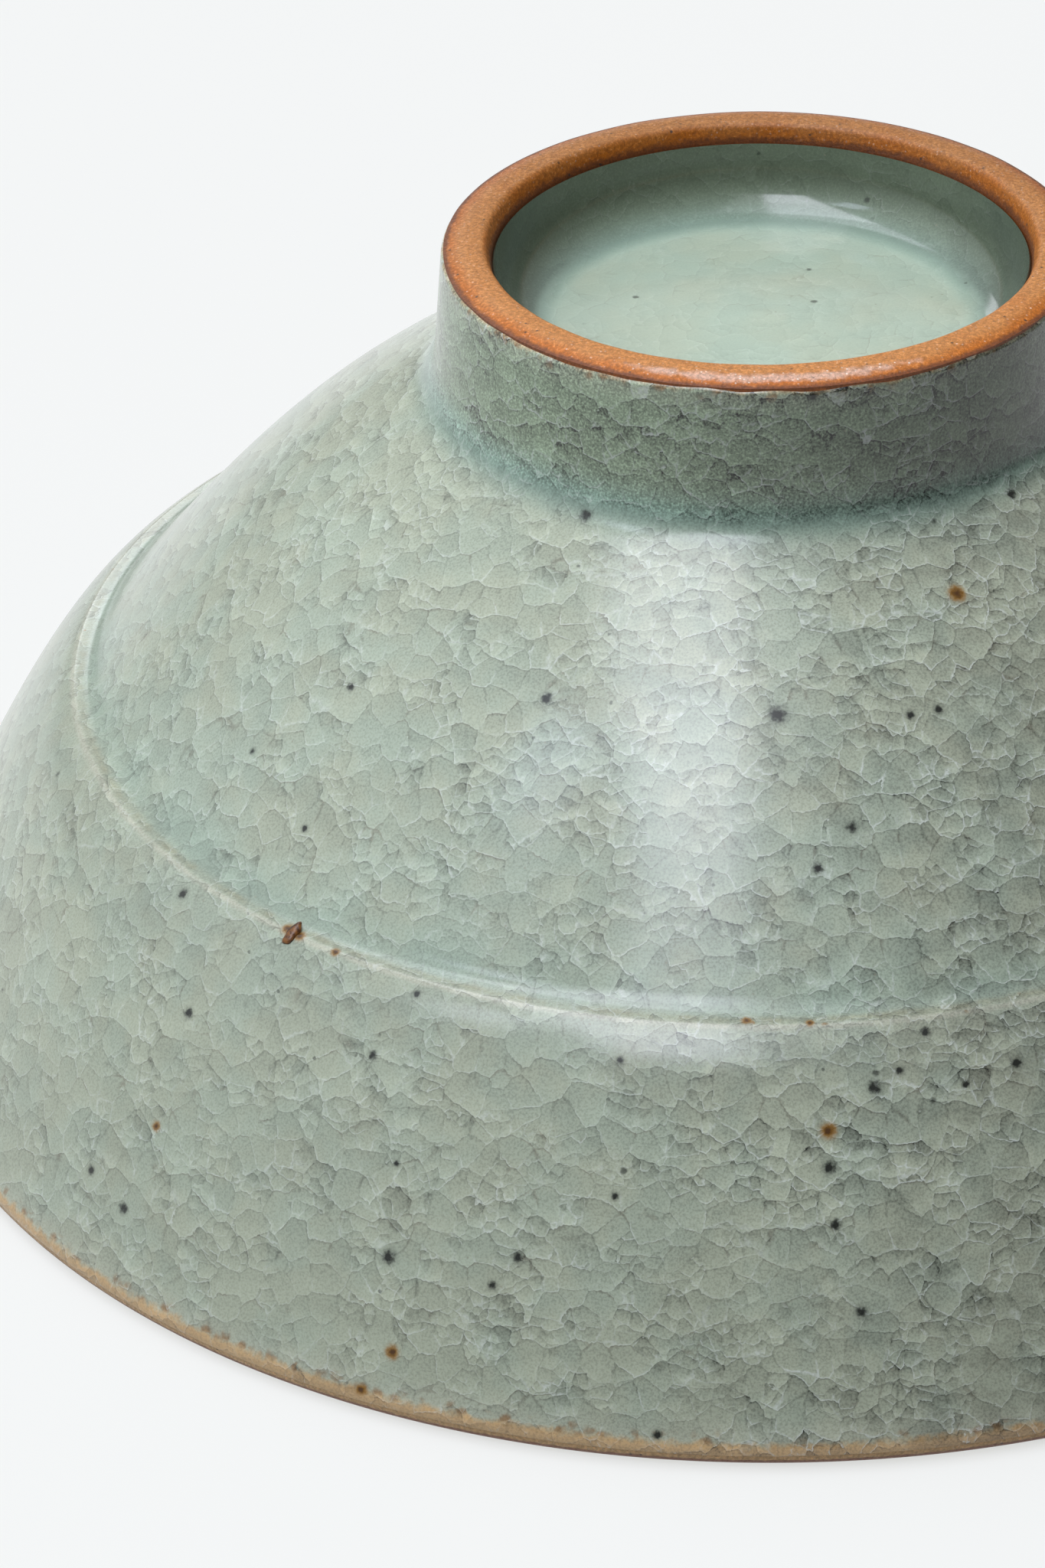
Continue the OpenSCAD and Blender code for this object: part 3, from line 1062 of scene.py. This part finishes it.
def add_outer_glaze(material):
    back = inset(glazed_outside, OUTER_BACK)[::-1]
    keep = np.unique(np.concatenate([np.arange(0, len(back), OUTER_BACK_STEP), [len(back) - 1]]))
    profile = np.concatenate([glazed_outside, back[keep]])
    rows = outer_traits(glazed_outside)
    traits = {key: np.concatenate([row, row[::-1][keep]]) for key, row in rows.items()}
    hidden = np.arange(len(profile)) >= len(glazed_outside) - 1
    mesh = revolve("glaze_outside", profile, True, hidden, outer_shift, traits)
    return made("glaze_outside", mesh, material, "celadon_outside", "outer_glaze")


def add_bowl_clay(material):
    clay_out = inset(glazed_outside, CLAY_SINK)[CLAY_FIRST:-1:CLAY_STEP]
    lip = arc(lip_axis, LIP_ROUND, 90 - WALL_END_SLOPE, -90 - WALL_END_SLOPE, LIP_N)
    sink = np.minimum(INNER_SINK, INNER_SINK_STEP * (1 + np.arange(len(glazed_inside))))
    clay_in = inset(glazed_inside, sink)[INNER_CLAY_STEP:-1:INNER_CLAY_STEP]
    base = np.array([[0, base_z - JOINT_SINK], [WELL_CORNER_R, base_z - JOINT_SINK]])
    profile = np.concatenate([base, clay_out, lip, clay_in, [inside_axis + [0, INNER_SINK]]])
    row = np.arange(len(profile))
    first = len(base) + len(clay_out)
    hidden = (row < first) | (row >= first + len(lip))
    under = np.degrees(np.arctan2(profile[:, 1] - lip_axis[1], profile[:, 0] - lip_axis[0]))
    traits = {
        "flat": np.full(len(profile), LIP_FLAT),
        # Painted shade on the underside of the lip
        "char_and_shade": np.where(hidden, 0, np.interp(under, LIP_UNDERSIDE_SHADE_AT, LIP_UNDERSIDE_SHADE)),
        "wear_and_sheen": np.zeros(len(profile)),
    }
    mesh = revolve("bowl_clay", profile, False, hidden, hand, traits)
    return made("bowl_clay", mesh, material, "lip_clay", "bowl_body")


def foot_profile(outer, inner, face_in, face_out):
    """Section of the foot ring, from the joint in the well over its face to the joint outside."""
    wall_foot = ring_foot - np.array([FOOT_SINK, JOINT_SINK])
    base = np.array([WELL_CORNER_R, base_z - JOINT_SINK])
    inner_round = bend(inner, face_in, face_out, INNER_CUT, CUT_N)
    outer_round = bend(face_in, face_out, outer, OUTER_CUT, CUT_N)
    bevel_start = face_out + OUTER_CUT * (outer - face_out) / np.linalg.norm(outer - face_out)
    return np.concatenate([
        line(base, inner, INNER_WALL_N),
        line(inner, inner_round[0], INNER_BEVEL_N),
        inner_round,
        outer_round,
        line(bevel_start, outer, OUTER_BEVEL_N),
        line(outer, wall_foot, OUTER_WALL_N),
        [wall_foot],
    ])


def add_foot_clay(material):
    outer = np.array([FOOT_R - EDGE_T, BOWL_H - FOOT_DROP])
    inner = np.array([WELL_EDGE[0] + EDGE_T, WELL_EDGE[1]])
    face_in = np.array([FACE_INNER_R, BOWL_H])
    face_out = np.array([FACE_OUTER_R, BOWL_H])
    profile = foot_profile(outer, inner, face_in, face_out)

    def nearness(point, width):
        return np.clip(1 - np.linalg.norm(profile - point, axis=1) / width, 0, 1)

    hidden = profile[:, 1] < BOWL_H - FOOT_SEEN
    burnt_and_shade = np.maximum(nearness(outer, OUTER_CHAR_W), nearness(inner, INNER_CHAR_W))
    face = [FACE_INNER_R - FACE_FADE, FACE_INNER_R + FACE_FADE, FACE_OUTER_R, FOOT_R - BEVEL_FADE]
    traits = {
        "flat": np.interp(profile[:, 0], face, [0, 1, 1, 0]),
        "char_and_shade": np.where(hidden, 1, burnt_and_shade),
        "wear_and_sheen": nearness(face_out + WORN_STEP, WORN_W),
    }
    mesh = revolve("foot_clay", profile, True, hidden, foot_shift, traits)
    return made("foot_clay", mesh, material, "foot_clay", "foot_ring")


def add_well_glaze(material):
    start = np.array([WELL_CORNER_R - WELL_COVE, well_floor])
    middle = np.array([0, well_floor + WELL_DOME])
    wall = blend(WELL_EDGE, WELL_SLOPE, start, INWARD, WELL_PULL, WELL_WALL_N)
    glazed = np.concatenate([wall, line(start, middle, WELL_FLOOR_N), [middle]])
    back_z = base_z + WELL_BACK
    edge_back = WELL_EDGE + [WELL_EDGE_BACK, -WELL_BACK]
    back = np.array([[0, back_z], [WELL_CORNER_R - WELL_BACK, back_z], edge_back])
    profile = np.concatenate([back, glazed])
    reach = np.concatenate([np.zeros(len(back)), lengths(glazed)])
    corner = lengths(glazed)[WELL_CORNER_POINT]
    share, width = WELL_POOL
    # Tones of the well: painted shade on its wall, painted light on its floor
    places = [0] + [corner + away for away, _ in WELL_SHADE_AND_LIGHT] + [reach[-1]]
    tones = [WELL_EDGE_SHADE] + [tone for _, tone in WELL_SHADE_AND_LIGHT] + [WELL_MIDDLE_LIGHT]
    far = np.full(len(profile), FAR_AWAY)
    traits = {
        "pool": np.maximum(share * bell(reach - corner, width), WELL_FLOOR_POOL * (reach > corner)),
        "tone": np.interp(reach, places, tones),
        "ridge": far,
        "hem": far,
    }
    hidden = np.arange(len(profile)) < len(back)
    mesh = revolve("glaze_well", profile, False, hidden, hand, traits)
    return made("glaze_well", mesh, material, "celadon_well", "foot_well_glaze")


def add_inner_glaze(material):
    back = inset(glazed_inside, INNER_BACK)[::-1]
    back[0] = inside_axis + [0, INNER_BACK]
    back = back[::INNER_BACK_STEP]
    profile = np.concatenate([back, glazed_inside])
    reach = np.concatenate([np.zeros(len(back)), lengths(glazed_inside)])
    share, width = INSIDE_POOL
    traits = {
        "pool": share * rising(reach - reach[-1] + width, width) ** 2,
        "tone": np.ones(len(profile)),
        "ridge": np.full(len(profile), FAR_AWAY),
        "hem": reach,
    }
    hidden = np.arange(len(profile)) < len(back)
    mesh = revolve("glaze_inside", profile, False, hidden, hand, traits)
    return made("glaze_inside", mesh, material, "celadon_inside", "inner_glaze")


def lens_faces(last):
    """Faces of a closed lens of rings between a first and a last point."""
    faces = []
    for j in range(BLISTER_SIDES):
        k = (j + 1) % BLISTER_SIDES
        faces.append((0, 1 + j, 1 + k))
        for i in range(BLISTER_RINGS - 2):
            low, high = 1 + i * BLISTER_SIDES, 1 + (i + 1) * BLISTER_SIDES
            faces.append((low + j, high + j, high + k, low + k))
        faces.append((last, last - BLISTER_SIDES + k, last - BLISTER_SIDES + j))
    return faces


def add_blister(glaze, material):
    """A burst blister of iron on the ridge: a low uneven lens, half sunk in the glaze."""
    middle, out = seen_at(glaze, BLISTER_AT)
    end, _ = seen_at(glaze, BLISTER_END)
    along = (end - middle) - (end - middle).dot(out) * out
    along.normalize()
    axes = np.array([along, out.cross(along), out])
    spots = [axes[2] * BLISTER_HALF[2]]
    for i in range(1, BLISTER_RINGS):
        tilt = math.pi * i / BLISTER_RINGS
        for j in range(BLISTER_SIDES):
            turn = 2 * math.pi * j / BLISTER_SIDES
            wide = math.sin(tilt) * (1 + waves(turn, BLISTER_SWELL))
            way = np.array([math.cos(turn) * wide, math.sin(turn) * wide, math.cos(tilt)])
            spots.append(way * BLISTER_HALF @ axes)
    spots.append(-axes[2] * BLISTER_HALF[2])
    mesh = bpy.data.meshes.new("iron_blister")
    places = (np.array(spots) + np.array(middle)) * MM
    mesh.from_pydata(places.tolist(), [], lens_faces(len(spots) - 1))
    return made("iron_blister", finished(mesh), material, "celadon_outside")


# Floor and light

# Floor: half size in metres, its colours as seen, under light and to the bowl, and how far it glows
FLOOR_HALF = 6.0
FLOOR_WHITE = rgb(0.89, 0.9, 0.882)
FLOOR_SHADED = rgb(0.85, 0.86, 0.855)
FLOOR_MATT = rgb(0.32, 0.32, 0.32)
FLOOR_GLOW = 0.75


def add_floor():
    """A pale floor that shows as white, with the bowl's faint shadow on it."""
    mesh = bpy.data.meshes.new("floor")
    h = FLOOR_HALF
    mesh.from_pydata([(-h, -h, 0), (h, -h, 0), (h, h, 0), (-h, h, 0)], [], [(0, 1, 2, 3)])
    floor = bpy.data.objects.new("floor", mesh)
    bpy.context.scene.collection.objects.link(floor)
    n = Nodes(bpy.data.materials.new("pale_floor"))
    path = n.add("ShaderNodeLightPath", {}).outputs
    seen = n.math("MAXIMUM", path["Is Camera Ray"], path["Is Glossy Ray"])
    seen = n.math("MAXIMUM", seen, path["Is Transmission Ray"])
    white = n.add("ShaderNodeEmission", {"Color": FLOOR_WHITE, "Strength": 1.0}).outputs[0]
    shaded = n.add("ShaderNodeBsdfDiffuse", {"Color": FLOOR_SHADED}).outputs[0]
    shown = n.add("ShaderNodeMixShader", {0: FLOOR_GLOW, 1: shaded, 2: white}).outputs[0]
    matt = n.add("ShaderNodeBsdfDiffuse", {"Color": FLOOR_MATT}).outputs[0]
    mesh.materials.append(n.end(n.add("ShaderNodeMixShader", {0: seen, 1: matt, 2: shown})))


# Soft light of the room: towards which way, how narrow, how strong and of what colour
ROOM_LOBES = [
    ((-1.0, 0.0, 0.7), 3.0, 0.9, rgb(0.94, 1.0, 1.05)),
    ((0.0, 1.0, 0.0), 1.0, 0.31, rgb(1.05, 1.0, 0.92)),
    ((0.0, 0.0, 1.0), 1.0, 0.18, rgb(1.04, 1.0, 0.94)),
]
ROOM_REST = 0.03

# Point that the windows face, in metres
WINDOW_AIM = Vector((0, 0, 0.04))

# Lamps: centre and size in metres, radiance and colour
PANELS = {
    "strip_front": ((-0.45, -1.35, 2.24), (0.8, 1.3), 6.8, (0.97, 1.0, 1.12)),
    "strip_middle": ((-0.45, 0.0, 2.24), (0.8, 1.4), 5.2, (0.97, 1.0, 1.12)),
    "strip_back": ((-0.45, 1.35, 2.24), (0.8, 1.3), 2.2, (0.97, 1.0, 1.12)),
    "strip_right": ((0.16, -0.7, 2.24), (0.42, 2.6), 0.8, (0.97, 1.0, 1.08)),
    "side_window": ((-1.26, -0.92, 2.04), (0.45, 0.6), 3.8, (0.9, 1.0, 1.2)),
    "back_window": ((-0.62, 2.05, 0.82), (0.5, 0.5), 3.0, (0.97, 1.0, 1.05)),
}


def add_room():
    """The room's soft light, strongest from the upper left."""
    world = bpy.data.worlds.new("room")
    bpy.context.scene.world = world
    n = Nodes(world)
    way = n.add("ShaderNodeTexCoord", {}).outputs["Generated"]
    light = n.add("ShaderNodeBackground", {"Color": rgb(1, 1, 1), "Strength": ROOM_REST})
    for axis, power, strength, colour in ROOM_LOBES:
        lean = n.math("MAXIMUM", n.vector("DOT_PRODUCT", way, Vector(axis).normalized()), 0.0)
        glow = n.times(n.math("POWER", lean, power), strength)
        lobe = n.add("ShaderNodeBackground", {"Color": colour, "Strength": glow})
        light = n.add("ShaderNodeAddShader", {0: light.outputs[0], 1: lobe.outputs[0]})
    n.end(light, "ShaderNodeOutputWorld")


def add_panel(name, centre, size, radiance, colour):
    """A soft rectangular lamp: a window faces the bowl, and a strip overhead faces straight down."""
    light = bpy.data.lights.new(name, "AREA")
    light.shape = "RECTANGLE"
    light.size, light.size_y = size
    light.energy = radiance * math.pi * size[0] * size[1]
    light.color = colour
    lamp = bpy.data.objects.new(name, light)
    bpy.context.scene.collection.objects.link(lamp)
    lamp.location = centre
    if name.endswith("window"):
        lamp.rotation_euler = (Vector(centre) - WINDOW_AIM).to_track_quat("Z", "Y").to_euler()
    lamp.visible_camera = False


add_camera()
blank = bpy.data.materials.new("blank")
outer = add_outer_glaze(blank)
bpy.context.view_layer.update()
iron = [(seen_at(outer, pixel)[0], radius) for pixel, radius in IRON_SPECKS]
rust = [(seen_at(outer, pixel)[0], radius) for pixel, radius in RUST_SPECKS]
outer.data.materials[0] = celadon("celadon_outside", OUTER_CRACKLE, OUTER_LIGHT_AND_SHADE, OUTER_GLOSS, iron, rust)
bpy.data.materials.remove(blank)
add_blister(outer, blistered_iron("iron_blister"))
soft_celadon = celadon("celadon_soft", SOFT_CRACKLE, WELL_LIGHT_AND_SHADE, WELL_GLOSS)
add_well_glaze(soft_celadon)
add_inner_glaze(soft_celadon)
add_foot_clay(bare_clay("foot_clay", CLAY_FACE, CLAY_BEVEL))
add_bowl_clay(bare_clay("lip_clay", LIP_FACE, LIP_SHADE))
add_floor()
add_room()
for name, values in PANELS.items():
    add_panel(name, *values)
bpy.context.scene.view_settings.view_transform = "Standard"
